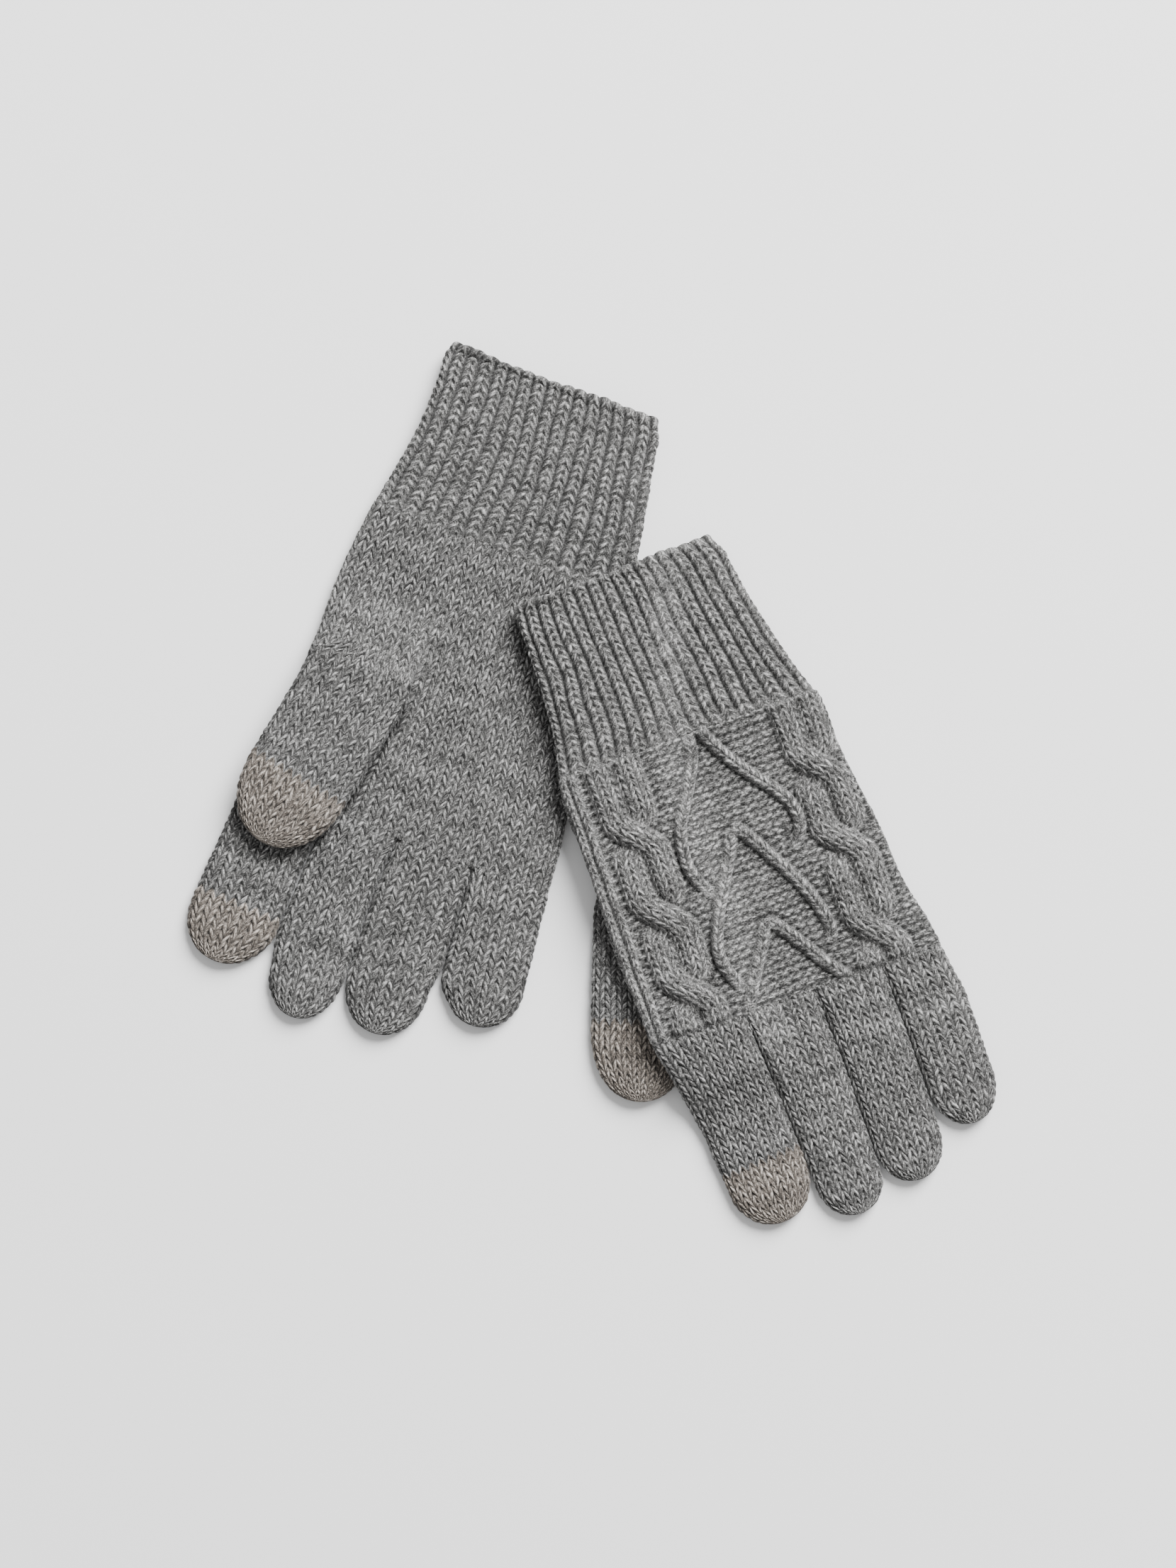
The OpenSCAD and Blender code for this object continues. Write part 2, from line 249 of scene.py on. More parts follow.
TUBE_ROWS = 2  # rows to a mm of a digit's base surface


# ---------------------------------------------------------------- small helpers
def smooth(t):
    t = np.clip(t, 0, 1)
    return t * t * (3 - 2 * t)


def rand(i, j, seed):
    """a fixed number from 0 to 1 for each pair of whole numbers"""
    n = (np.asarray(i).astype(np.int64) * 374761393 + np.asarray(j).astype(np.int64) * 668265263
         + seed * 1274126177) & 0x7FFFFFFF
    n = ((n ^ (n >> 13)) * 1103515245 + 12345) & 0x7FFFFFFF
    n = ((n ^ (n >> 11)) * 69069 + 1) & 0x7FFFFFFF
    return ((n >> 9) & 0xFFFF) / 65535.0


def noise(x, y, seed):
    """smooth noise from -1 to 1"""
    i, j = np.floor(x), np.floor(y)
    fx, fy = smooth(x - i), smooth(y - j)
    near = rand(i, j, seed) * (1 - fx) + rand(i + 1, j, seed) * fx
    far = rand(i, j + 1, seed) * (1 - fx) + rand(i + 1, j + 1, seed) * fx
    return 2 * (near * (1 - fy) + far * fy) - 1


def edge(side, which, y):
    """edge of a hand, rounded between its points"""
    points = np.array(EDGE[(side, which)], float)
    ys = np.arange(-20, 221, 1.0)
    xs = np.interp(ys, points[:, 0], points[:, 1])
    kernel = np.exp(-0.5 * (np.arange(-12, 13) / 4.0) ** 2)
    xs = np.convolve(np.pad(xs, 12, mode="edge"), kernel / kernel.sum(), mode="valid")
    return np.interp(y, ys, xs)


def drape(side, x, y):
    """how far the left glove is lifted where it crosses the right one"""
    if side == "right":
        return 0 * x
    return LIFT * smooth((x + 26 - 20 * np.clip(y / 70, 0, 1)) / LIFT_WIDTH) * (1 - smooth((y - 168) / 22))


def even(x, z, count):
    """resamples a section to count points at even steps, and gives its length"""
    s = np.concatenate([[0], np.cumsum(np.hypot(np.diff(x), np.diff(z)))])
    t = np.linspace(0, 1, count) * s[-1]
    return np.interp(t, s, x), np.interp(t, s, z), s[-1]


def rounded_box(half, height, corner, angles):
    """a flattened section: an ellipse at corner 2, nearer to a box as it grows"""
    c, s = np.cos(angles), np.sin(angles)
    return (half * np.sign(c) * np.abs(c) ** (2 / corner), height / 2 * np.sign(s) * np.abs(s) ** (2 / corner))


def direction(lean):
    """unit vector along a digit that leans from +y towards +x"""
    return np.array([math.sin(math.radians(lean)), math.cos(math.radians(lean))])


class Surface:
    """a smooth base surface kept as a table of points, sampled at any row and column"""

    def __init__(self, P, centre, closed=False):
        self.P = P
        if closed:  # the last column repeats the first
            ring = np.concatenate([P[:, -2:-1], P, P[:, 1:2]], axis=1)
            du = np.gradient(ring, axis=1)[:, 1:-1]
        else:
            du = np.gradient(P, axis=1)
        N = np.cross(du, np.gradient(P, axis=0))
        if (N * (P - centre)).sum(-1).mean() < 0:
            N = -N
        self.N = N / np.maximum(np.linalg.norm(N, axis=-1, keepdims=True), 1e-9)

    def at(self, row, col):
        """points and outward normals"""
        rows, cols = self.P.shape[:2]
        row, col = np.broadcast_arrays(np.clip(row, 0, rows - 1.0001), np.clip(col, 0, cols - 1.0001))
        i, j = row.astype(int), col.astype(int)
        fr, fc = (row - i)[..., None], (col - j)[..., None]
        P, N = [(T[i, j] * (1 - fr) + T[i + 1, j] * fr) * (1 - fc)
                + (T[i, j + 1] * (1 - fr) + T[i + 1, j + 1] * fr) * fc for T in (self.P, self.N)]
        return P, N / np.maximum(np.linalg.norm(N, axis=-1, keepdims=True), 1e-9)

    def ways_round(self):
        """length of each row, in mm"""
        return np.linalg.norm(np.diff(self.P, axis=1), axis=-1).sum(1)


# ---------------------------------------------------------------- stitches
def arch(t, q, column, side, seed, rise=1.0, bend=1.35, thick=0.34, gap=0.72, pitch=2.7, half=1.83, inner=0.7):
    """one strand of a column of arched loops: t from the middle of the column to its edge, q in courses.
    Returns its height, 0 to about 1, and the place along, across and in the yarn, in mm"""
    t = np.clip(t, 0, 1)
    along = q - rise * t ** bend
    loop = np.floor(along)
    across = along - loop - 0.5
    r1 = 2 * rand(column * 2 + side, loop, seed) - 1
    r2 = 2 * rand(column * 2 + side, loop, seed + 5) - 1
    slope = pitch * rise * bend * np.maximum(t, 1e-3) ** (bend - 1) / half
    wide = np.minimum(thick * np.sqrt(1 + slope ** 2) * (1 + 0.10 * r1), 0.53)
    f = np.clip(1 - np.abs((across + 0.06 * r2) / wide) ** 2.1, 0, 1) ** 0.52
    f = f * (1 - gap * smooth((t - 0.76) / 0.24)) * (1 - inner * smooth((0.22 - t) / 0.22))
    f = f * (0.92 + 0.16 * r1)
    yarn = np.stack([(2 * side - 1) * t * 3.4, across * 1.5, 40 * (r1 + 1) + 7 * column], -1)
    return f, yarn


def knit(p, q, seed):
    """stockinette"""
    wale = np.floor(p)
    a = p - wale - 0.5
    return arch(np.abs(a) * 2, q, wale, (a > 0).astype(int), seed)


def purl(p, q, seed):
    """reverse stockinette: two sets of low arcs, interlocked half a wale and half a course apart"""
    sets = []
    for n, (shift, bow) in enumerate([(0, 0.2), (0.5, -0.2)]):
        i = np.floor(p + shift)
        x = p + shift - i - 0.5
        bowed = q + shift + bow * (1 - (2 * x) ** 2) * 0.5
        j = np.floor(bowed)
        y = bowed - j - 0.5
        r = 2 * rand(i, j, seed + 11 + n) - 1
        f = np.clip(1 - np.abs((x + 0.25 * y) / 0.45) ** 2.2 - (y / 0.33) ** 2, 0, 1) ** 0.55
        f = f * (0.92 + 0.14 * r - 0.1 * n)
        sets.append((f, np.stack([x * 3.7, y * 2.4, 40 * (r + 1) + 13 * n], -1)))
    (f, yarn), (f2, yarn2) = sets
    over = f2 > f
    return np.where(over, f2, f), np.where(over[..., None], yarn2, yarn)


def rib(p, q, seed):
    """knit-one purl-one rib, p in ribs. Height 0 to 1 over the groove"""
    i = np.floor(p)
    a = p - i - 0.5
    c = np.abs(a) / 0.455
    f, yarn = arch(c, q, i, (a > 0).astype(int), seed,
                   rise=0.86, bend=1.15, thick=0.33, gap=0.3, pitch=2.6, half=2.3)
    ridge = np.clip(1 - np.clip(c, 0, 1) ** 3.0, 0, 1) ** 0.6
    knit_side = np.where(c < 1, ridge * (0.32 + 0.68 * f), 0)
    groove = 0.22 * np.clip(np.sin(np.pi * 2 * (q + 0.3 * i)), 0, 1) * np.clip((c - 0.8) / 0.2, 0, 1)
    return np.maximum(knit_side, groove), yarn


def strand(d, t, q, n, seed):
    """a raised strand one stitch wide: d across it with its sign, t from its middle to its edge"""
    return arch(t, q, np.full_like(d, n), (d > 0).astype(int), seed,
                rise=0.8, bend=1.15, thick=0.36, gap=0.15, pitch=2.9, half=2.2)


def warp(p, q, seed):
    """the small wander of wales and courses in a real knit"""
    return (p + 0.10 * noise(p / 3.1, q / 7.3, seed) + 0.05 * noise(p / 1.3, q / 2.1, seed + 1),
            q + 0.16 * noise(p / 4.7, q / 3.7, seed + 2) + 0.06 * noise(p / 0.9, q / 1.7, seed + 3))


def columns(count, per):
    return np.arange(count * per + 1) / per


def sheared_rows(q, p, last):
    """rows of vertices that follow the arches of the stitches, straight at q of 0 and at the last"""
    t = np.abs(p - np.floor(p) - 0.5) * 2
    return q + (t ** 1.35 - 0.5) * smooth(q / 1.2) * smooth((last - q) / 1.6)


# ---------------------------------------------------------------- meshes
def to_world(side, P):
    """from a glove's millimetres to the frame's metres"""
    place = PLACE[side]
    c, s = math.cos(math.radians(place.turn)), math.sin(math.radians(place.turn))
    x = place.x + P[..., 0] * c - P[..., 1] * s
    y = place.y + P[..., 0] * s + P[..., 1] * c
    return np.stack([x, y, P[..., 2]], -1) / 1000


def world_point(side, xy, z):
    return tuple(float(v) for v in to_world(side, np.array([*xy, z], float)))


def band_of(q, p, painted_shade):
    """course, place along the course, and painted shade, darker in the hollows of the fabric; the yarn's tone depends
    on them
    """
    return np.stack(np.broadcast_arrays(q, p, painted_shade), -1)


def cap_triangles(points, ring, behind, middle):
    """triangles that close a ring of vertices onto a middle one, facing away from the ring behind"""
    tri = np.stack([ring, np.roll(ring, -1), np.full(len(ring), middle)], -1)
    outward = (points[ring] - points[behind]).mean(0)
    facing = np.cross(points[tri[:, 1]] - points[tri[:, 0]], points[tri[:, 2]] - points[tri[:, 0]]) @ outward
    return tri[:, ::-1] if facing.sum() < 0 else tri


def knitted_object(name, side, P, N, height, yarn, band_and_shade, material, closed=False, cap=False):
    """a grid of points, moved along its normals and kept off the floor, as a mesh that knows its yarn"""
    P = P + N * height[..., None]
    P[..., 2] = np.maximum(P[..., 2], FLOOR)
    rows, cols = P.shape[:2]
    index = np.arange(rows * cols).reshape(rows, cols)
    if closed:
        beside = np.roll(index, -1, axis=1)
        quads = np.stack([index[:-1], beside[:-1], beside[1:], index[1:]], -1).reshape(-1, 4)
    else:
        quads = np.stack([index[:-1, :-1], index[:-1, 1:], index[1:, 1:], index[1:, :-1]], -1).reshape(-1, 4)
    points, yarn, band_and_shade = to_world(side, P).reshape(-1, 3), yarn.reshape(-1, 3), band_and_shade.reshape(-1, 3)
    outward = (to_world(side, N) - to_world(side, np.zeros(3))).reshape(-1, 3)[quads[:, 0]]
    facing = np.cross(points[quads[:, 1]] - points[quads[:, 0]], points[quads[:, 3]] - points[quads[:, 0]])
    if (facing * outward).sum() < 0:
        quads = quads[:, ::-1]
    loops, starts = quads.reshape(-1), np.arange(len(quads)) * 4
    if cap:
        ring = index[-1]
        points = np.vstack([points, points[ring].mean(0)])
        yarn, band_and_shade = np.vstack([yarn, yarn[ring[0]]]), np.vstack([band_and_shade, band_and_shade[ring[0]]])
        tri = cap_triangles(points, ring, index[-3], rows * cols)
        starts = np.concatenate([starts, len(loops) + np.arange(len(tri)) * 3])
        loops = np.concatenate([loops, tri.reshape(-1)])
    mesh = bpy.data.meshes.new(name)
    mesh.vertices.add(len(points))
    mesh.vertices.foreach_set("co", points.astype(np.float32).reshape(-1))
    mesh.loops.add(len(loops))
    mesh.loops.foreach_set("vertex_index", loops.astype(np.int32))
    mesh.polygons.add(len(starts))
    mesh.polygons.foreach_set("loop_start", starts.astype(np.int32))
    mesh.polygons.foreach_set("use_smooth", np.ones(len(starts), bool))
    for label, values in (("yarn", yarn), ("band_and_shade", band_and_shade)):
        attribute = mesh.attributes.new(label, "FLOAT_VECTOR", "POINT")
        attribute.data.foreach_set("vector", values.astype(np.float32).reshape(-1))
    mesh.update(calc_edges=True)
    mesh.validate()
    piece = bpy.data.objects.new(name, mesh)
    bpy.context.scene.collection.objects.link(piece)
    mesh.materials.append(material)
    return piece


# ---------------------------------------------------------------- materials
# shares of fibre, clump, speck, course and wide tones in the yarn's colour
MIX = {"fibre": 1.4, "clump": 0.9, "speck": 1.0, "course": 0.40, "wide": 0.08}


def yarn_material(name, dark, mid, light, roughness):
    """heather yarn: fibres in three tones, with lighter and darker courses, painted shade in the hollows, sheen and a
    fine bump
    """
    material = bpy.data.materials.new(name)
    material.use_nodes = True
    tree = material.node_tree
    tree.nodes.clear()
    new, link = tree.nodes.new, tree.links.new

    def scaled(vector, factors):
        node = new("ShaderNodeVectorMath")
        node.operation = "MULTIPLY"
        link(vector, node.inputs[0])
        node.inputs[1].default_value = factors
        return node.outputs[0]

    def noise_texture(vector, scale, detail):
        node = new("ShaderNodeTexNoise")
        link(vector, node.inputs["Vector"])
        node.inputs["Scale"].default_value = scale
        node.inputs["Detail"].default_value = detail
        node.inputs["Roughness"].default_value = 0.6
        return node.outputs["Fac"]

    def times_plus(value, factor, addend):
        node = new("ShaderNodeMath")
        node.operation = "MULTIPLY_ADD"
        link(value, node.inputs[0])
        node.inputs[1].default_value = factor
        if isinstance(addend, float):
            node.inputs[2].default_value = addend
        else:
            link(addend, node.inputs[2])
        return node.outputs[0]

    yarn, band_and_shade, place = new("ShaderNodeAttribute"), new("ShaderNodeAttribute"), new("ShaderNodeTexCoord")
    yarn.attribute_name, band_and_shade.attribute_name = "yarn", "band_and_shade"
    parts = {
        "fibre": noise_texture(scaled(yarn.outputs["Vector"], (0.6, 2.6, 1.0)), 1.0, 2),
        "clump": noise_texture(scaled(yarn.outputs["Vector"], (0.34, 1.3, 1.0)), 1.0, 1),
        "speck": noise_texture(place.outputs["Object"], 1750.0, 1),
        "course": noise_texture(scaled(band_and_shade.outputs["Vector"], (0.42, 0.045, 0.0)), 1.0, 2),
        "wide": noise_texture(place.outputs["Object"], 26.0, 1),
    }
    tone = 0.5 - 0.5 * sum(MIX.values())
    for part, share in MIX.items():
        tone = times_plus(parts[part], share, tone)
    ramp = new("ShaderNodeValToRGB")
    link(tone, ramp.inputs[0])
    ends = ramp.color_ramp.elements
    ends[0].position, ends[0].color = 0.15, (*dark, 1)
    ends[1].position, ends[1].color = 0.85, (*light, 1)
    ends.new(0.5).color = (*mid, 1)

    # painted shade: the yarn's colour is darkened by the band's third value, which is low in the hollows of the fabric
    # and beside raised strands
    parts_of_band, painted_shade = new("ShaderNodeSeparateXYZ"), new("ShaderNodeMapRange")
    link(band_and_shade.outputs["Vector"], parts_of_band.inputs[0])
    link(parts_of_band.outputs["Z"], painted_shade.inputs["Value"])
    for socket, value in (("From Min", 0.08), ("From Max", 0.88), ("To Min", 0.10), ("To Max", 1.0)):
        painted_shade.inputs[socket].default_value = value
    shaded = new("ShaderNodeVectorMath")
    shaded.operation = "SCALE"
    link(ramp.outputs["Color"], shaded.inputs[0])
    link(painted_shade.outputs["Result"], shaded.inputs["Scale"])

    bump = new("ShaderNodeBump")
    bump.inputs["Strength"].default_value = 0.5
    bump.inputs["Distance"].default_value = 0.0003
    link(parts["fibre"], bump.inputs["Height"])

    shader, out = new("ShaderNodeBsdfPrincipled"), new("ShaderNodeOutputMaterial")
    for socket, value in (("Roughness", roughness), ("Specular IOR Level", 0.22), ("Sheen Weight", 0.22),
                          ("Sheen Roughness", 0.45), ("Sheen Tint", (0.9, 0.9, 0.9, 1))):
        shader.inputs[socket].default_value = value
    link(shaded.outputs[0], shader.inputs["Base Color"])
    link(bump.outputs[0], shader.inputs["Normal"])
    link(shader.outputs[0], out.inputs[0])
    return material


GREY = yarn_material("grey_heather_yarn", dark=(0.017, 0.0167, 0.0163), mid=(0.1, 0.0987, 0.096),
                     light=(0.328, 0.324, 0.318), roughness=0.86)
TAUPE = yarn_material("taupe_touch_yarn", dark=(0.031, 0.026, 0.022), mid=(0.148, 0.127, 0.108),
                      light=(0.40, 0.362, 0.325), roughness=0.8)


# ---------------------------------------------------------------- the hand
def thumb_bulge(x, y):
    """rise of the right palm over the base of its folded thumb"""
    thumb = THUMB["right"]
    across = x - thumb.x - 0.17 * (y - thumb.y)
    soft = 0.75 - 0.5 * smooth((y - 90) / 26)
    inner = smooth((1.0 + across / 18.9) / soft)
    outer = smooth((1.12 - across / 20.5) / 0.25)
    return 6.0 * smooth((y - 86) / 30) * inner * outer * (1 - smooth((y - 116.5) / 2.5))


def hand_span(side):
    """where the hand's panels begin and end, a little under the cuff and the fingers"""
    return CUFF + 0.1, ROOT[side] + 1.6


def hand_surface(side, top, cols, bulge):
    """one face of the flattened hand, from the thumb side to the little finger's, with a row to each mm.
    Returns it and the length of each row"""
    start, end = hand_span(side)
    ys = np.arange(start, end + 0.5, 1.0)
    P, centre = np.zeros((len(ys), cols + 1, 3)), np.zeros((len(ys), 1, 3))
    angles = np.linspace(0, np.pi, 721)
    lengths = []
    for r, y in enumerate(ys):
        thumb_side, far_side, height = edge(side, 1, y), edge(side, -1, y), np.interp(y, ALONG, HEIGHT)
        middle = (thumb_side + far_side) / 2
        corner = 3.2 + 2.4 * smooth((y - 30) / 40)
        x, z = rounded_box((thumb_side - far_side) / 2, height, corner, angles)
        x, z, length = even(x, z, cols + 1)
        x, up = x + middle, np.clip(z / (height / 2), 0, 1)
        lengths.append(length)
        P[r, :, 0], P[r, :, 1] = x, y
        P[r, :, 2] = height / 2 + (z if top else -z) + drape(side, x, y + 0 * x)
        if bulge:
            P[r, :, 2] += thumb_bulge(x, y) * up ** 0.7
        if top:  # the hand is not perfectly flat
            P[r, :, 2] += 0.45 * noise(x / 23, y / 31 + 0 * x, 3 + LEFT[side]) * up \
                * (1 - smooth((y - ROOT[side] + 16) / 12)) * smooth((y - CUFF) / 12)
        centre[r, 0] = (middle, y, height / 2 + LIFT / 2 * LEFT[side])
    return Surface(P, centre), lengths


def thumb_foot(side, P):
    """1 along the side of the folded thumb, fading over the palm beside it"""
    thumb = THUMB[side]
    sin, cos = direction(thumb.lean)
    x, y = P[..., 0] - thumb.x, P[..., 1] - thumb.y
    along, off = x * sin + y * cos, x * cos - y * sin + thumb.half
    return np.exp(-(off / 1.7) ** 2) * smooth((along - 1) / 6) * smooth((thumb.length - 9 - along) / 8)


def palm_knit(side):
    """plain knit; the right palm lies up, with its thumb folded over it"""
    top = side == "right"
    start, end = hand_span(side)
    surface, _ = hand_surface(side, top, FACE_COLS, bulge=top)
    last = (end - start) / COURSE
    p = columns(PALM_WALES, WALE_COLUMNS)[None, :]
    q = sheared_rows(np.linspace(0, last, int(last * COURSE_ROWS) + 1)[:, None], p, last)
    p = p + 0 * q
    P, N = surface.at(q * COURSE, p / PALM_WALES * FACE_COLS)
    f, yarn = knit(*warp(p, q, 21 + top + 2 * LEFT[side]), 31 + top)
    height = RELIEF * (f - 1.0) - 0.7 * smooth((q * COURSE + start - ROOT[side]) / 1.2)
    if top:
        foot = thumb_foot(side, P)
        height = height - 1.0 * foot
        # painted shade in the crease beside the thumb: the palm's yarn is darkened along the thumb's side
        f = f * (1 - 0.55 * foot)
    # f is painted shade in the knit's hollows
    return knitted_object(side + "_palm_knit", side, P, N, height, yarn, band_of(q, p, f), GREY)


# ---------------------------------------------------------------- the cuff
LIP = 1.5  # y of the middle of the rounded lip
MOUTH_WALL = 2.6  # the inside is narrower than the outside by this, each side


def cuff_surface(side, start, end, inner=False):
    """the flattened tube of the cuff, with a row to each mm. Its first column is the thumb side's edge"""
    ys = np.arange(start, end + 0.51, 1.0)
    P, centre = np.zeros((len(ys), FINE_COLS + 1, 3)), np.zeros((len(ys), 1, 3))
    angles = np.linspace(0, 2 * np.pi, 1441)
    for r, y in enumerate(ys):
        thumb_side, far_side, height = edge(side, 1, y), edge(side, -1, y), np.interp(y, ALONG, HEIGHT)
        corner = max(1 - y / 7.5, 0) ** 2  # the mouth's two corners are rounded
        half = (thumb_side - far_side) / 2 - 2.6 * corner
        middle = (thumb_side + far_side) / 2 + (0.8 if side == "left" else 0.2) * corner
        thick = height
        if inner:
            half, thick = half - MOUTH_WALL, np.interp(y, ALONG, SPACE)
        x, z = rounded_box(half, thick, 3.2 + 2.0 * smooth((y - 30) / 40), angles)
        x, z, _ = even(x, z, FINE_COLS + 1)
        x = x + middle
        P[r, :, 0], P[r, :, 1] = x, y
        P[r, :, 2] = height / 2 + z + drape(side, x, y + 0 * x)
        P[r, :, 2] += 0.3 * noise(x / 27, y / 19 + 0 * x, 9) * (z > 0) * (1 - smooth((y - 48) / 12))
        centre[r, 0] = (middle, y, height / 2 + LIFT / 2 * LEFT[side])
    P[:, -1] = P[:, 0]
    return Surface(P, centre, closed=True)


def cuff_rib(side):
    start, end = 3.4, CUFF + 1.8
    surface = cuff_surface(side, start, end)
    first, last = start / COURSE_RIB, end / COURSE_RIB
    p = columns(RIBS, RIB_COLUMNS)[None, :-1]
    q = np.linspace(first, last, int((last - first) * RIB_ROWS) + 1)[:, None] + 0 * p
    y = q * COURSE_RIB
    P, N = surface.at(y - start, p / RIBS * FINE_COLS + 0 * q)
    wander = 0.13 * noise(p / 2.3, q / 5.1, 51 + LEFT[side]) + 0.04 * noise(p / 1.1, q / 1.3, 52)
    f, yarn = rib(p + wander, q + 0.15 * noise(p / 3.3, q / 2.9, 53), 61)
    away = smooth((y - 58.2 - 1.2 * noise(p / 1.7, 0 * p, 55)) / 3.4)  # the grooves close at the hand
    f = f + 0.65 * (0.62 - f) * away * np.clip((0.62 - f) / 0.4, 0, 1)
    height = RIB_RELIEF[side] * (1 - 0.15 * away) * (f - 1.0) - 0.9 * smooth((y - CUFF) / 1.2)
    # painted shade in the grooves between the ribs
    band_and_shade = band_of(q, p * 1.6, 0.16 + 0.84 * np.clip(f, 0, 1))
    return knitted_object(side + "_cuff_rib", side, P, N, height, yarn, band_and_shade, GREY, closed=True)


def mouth_line(x, y):
    """how far the cast-on edge leaves a straight line: it wanders, and rounds its corners"""
    reach = np.abs(x - x.mean())
    wander = 0.7 * np.sin(x / 17.0 + 0.6) + 0.5 * noise(x / 6.0, 0 * x, 41)
    corner = 2.4 * (reach / reach.max()) ** 16
    return wander * (1 - smooth(np.abs(y) / 3.3)) + corner * (1 - smooth(np.abs(y) / 5.5))


def cuff_edge(side):
    """the cast-on edge: the outside, the rounded lip and the inside of the mouth, in one skin"""
    outer, inner = cuff_surface(side, 0, 6), cuff_surface(side, 0, 46, inner=True)
    p = columns(RIBS, RIB_COLUMNS)[:-1]
    col = p / RIBS * FINE_COLS
    rows = []  # of each row: points, normals, course, and whether it is outside, on the lip or inside
    for y in np.linspace(3.6, LIP, 8):
        rows.append((*outer.at(y, col), y / COURSE_RIB, "outside"))
    (outside, facing), (inside, _) = outer.at(LIP, col), inner.at(LIP, col)
    for t in np.linspace(0, np.pi, 12)[1:-1]:
        P = (outside + inside) / 2 + (outside - inside) / 2 * np.cos(t)
        P[:, 1] = LIP - 1.7 * np.sin(t)
        N = facing * np.cos(t)
        N[:, 1] -= np.sin(t)
        rows.append((P, N, LIP / COURSE_RIB - 0.5 * t / np.pi, "lip"))
    for y in np.concatenate([np.linspace(LIP, 16, 34), np.linspace(17, 45, 24)]):
        P, N = inner.at(y, col)
        rows.append((P, -N, -y / COURSE_RIB, "inside"))
    P, N, q, part = (np.array(column) for column in zip(*rows))
    q, part, p = q[:, None] + 0 * p, part[:, None], p + 0 * q[:, None]

    wandering = p + 0.13 * noise(p / 2.3, np.maximum(q, 0) / 5.1, 51 + LEFT[side])
    f, yarn = rib(wandering, q, 61)
    f_inside, yarn_inside = rib(wandering + 0.5, q, 62)
    bead = 0.45 * np.clip(np.cos((wandering - np.floor(wandering) - 0.5) * np.pi * 1.1), 0, 1) ** 0.6
    relief = RIB_RELIEF[side]
    lip_height = -relief * 0.45 * (1 - bead * 2)
    ease = smooth((LIP / COURSE_RIB + 0.7 - q) / 0.7)  # the outside eases into the lip
    height = np.select([part == "outside", part == "lip"],
                       [relief * (f - 1) * (1 - ease) + lip_height * ease, lip_height], 0.7 * (f_inside - 1))
    P[..., 1] += mouth_line(*(P + N * height[..., None])[..., :2].transpose(2, 0, 1))
    yarn = np.where((part == "inside")[..., None], yarn_inside, yarn)
    # painted shade: darker in the rib's hollows, and darker still inside the mouth
    band_and_shade = band_of(q, p * 1.6, np.where(part == "inside", 0.4 * f_inside + 0.2, np.clip(f, 0.25, 1)))
    return knitted_object(side + "_cuff_edge", side, P, N, height, yarn, band_and_shade, GREY, closed=True)


# ---------------------------------------------------------------- the cabled back
# Drawn on the left glove, in mm: u across the back, from its middle line towards the little finger, and v
# along it from the mouth of the cuff. The right glove has the same back, a little longer.
TRAVELLING = [  # height of each travelling stitch, and its line
    (2.55, [(8.0, 55.5), (8.8, 60.0), (12.3, 68.2), (17.3, 76.4), (22.3, 83.2), (26.4, 88.2), (30.0, 93.6),
            (31.8, 100.0), (30.9, 105.5), (27.1, 109.1)]),
    (2.25, [(5.6, 60.9), (3.6, 70.9), (-0.9, 79.1), (-5.5, 86.4), (-8.2, 90.9), (-9.8, 98.2), (-10.2, 104.5),
            (-8.2, 110.9), (-5.5, 115.0)]),
    (2.55, [(7.7, 99.1), (3.6, 107.3), (-0.5, 114.5), (-4.5, 120.9), (-7.7, 127.3), (-10.2, 134.5),
            (-9.8, 140.9), (-7.7, 146.4), (-6.0, 149.1)]),
    (2.55, [(10.5, 97.3), (14.5, 103.6), (18.6, 110.9), (22.7, 118.2), (25.9, 125.5), (28.2, 132.7),
            (29.5, 139.1), (28.4, 143.6)]),
    (2.55, [(8.4, 131.8), (5.0, 138.2), (0.9, 144.5), (-2.7, 150.0), (-5.5, 155.9)]),
    (2.55, [(10.7, 131.4), (15.0, 137.3), (19.1, 143.6), (23.6, 150.9), (27.3, 155.5), (30.2, 159.5)]),
]
TRAVELLING_HALF, NARROW_HALF = 2.3, 1.55  # half widths of the strands
# u of a cable's middle, v of its crossings, and its half width
CABLES = [(-23.4, [88.2, 117.3, 144.5], 10.4), (43.6, [86.4, 113.6, 146.4], 10.2)]
NARROW_RIBS = [(-40.9, -41.3), (-37.6, -38.0)]  # u at the cuff and at the fingers, down the thumb side
NOWHERE = -9  # a height under everything, where a strand isn't


class Relief:
    """a knitted face: its height, the yarn's coordinates and the band, with painted shade, that its tone depends on"""

    def __init__(self, u, v):
        q = (v - CUFF) / COURSE_BACK
        f, self.yarn = purl(*warp(u / PURL_WALE, q, 71), 72)
        self.u, self.v = u, v
        self.height = 0.75 * f
        # painted shade in the hollows of the purl
        self.band_and_shade = band_of(q, u / PURL_WALE, 0.2 + 0.68 * f)

    def dip(self, r, half):
        """the ground sinks along the foot of a raised strand, at distance r from its middle, and painted shade darkens
        it there
        """
        foot = np.exp(-(np.clip(r - half, 0, None) / 1.1) ** 2) * (r > half)
        self.height = self.height - 0.35 * foot
        self.band_and_shade[..., 2] *= 1 - 0.34 * foot

    def lay(self, height, f, ridge, low, yarn):
        """puts a strand where it is the higher; its sides and hollows get painted shade, down to the share low"""
        over = (height > self.height)[..., None]
        painted_shade = (0.16 + 0.84 * f) * (low + (1 - low) * np.clip(1.25 * ridge, 0, 1))
        self.yarn = np.where(over, yarn, self.yarn)
        self.band_and_shade = np.where(over, band_of(self.v / COURSE_BACK, self.u / CABLE_WALE, painted_shade), self.band_and_shade)
        self.height = np.maximum(self.height, height)


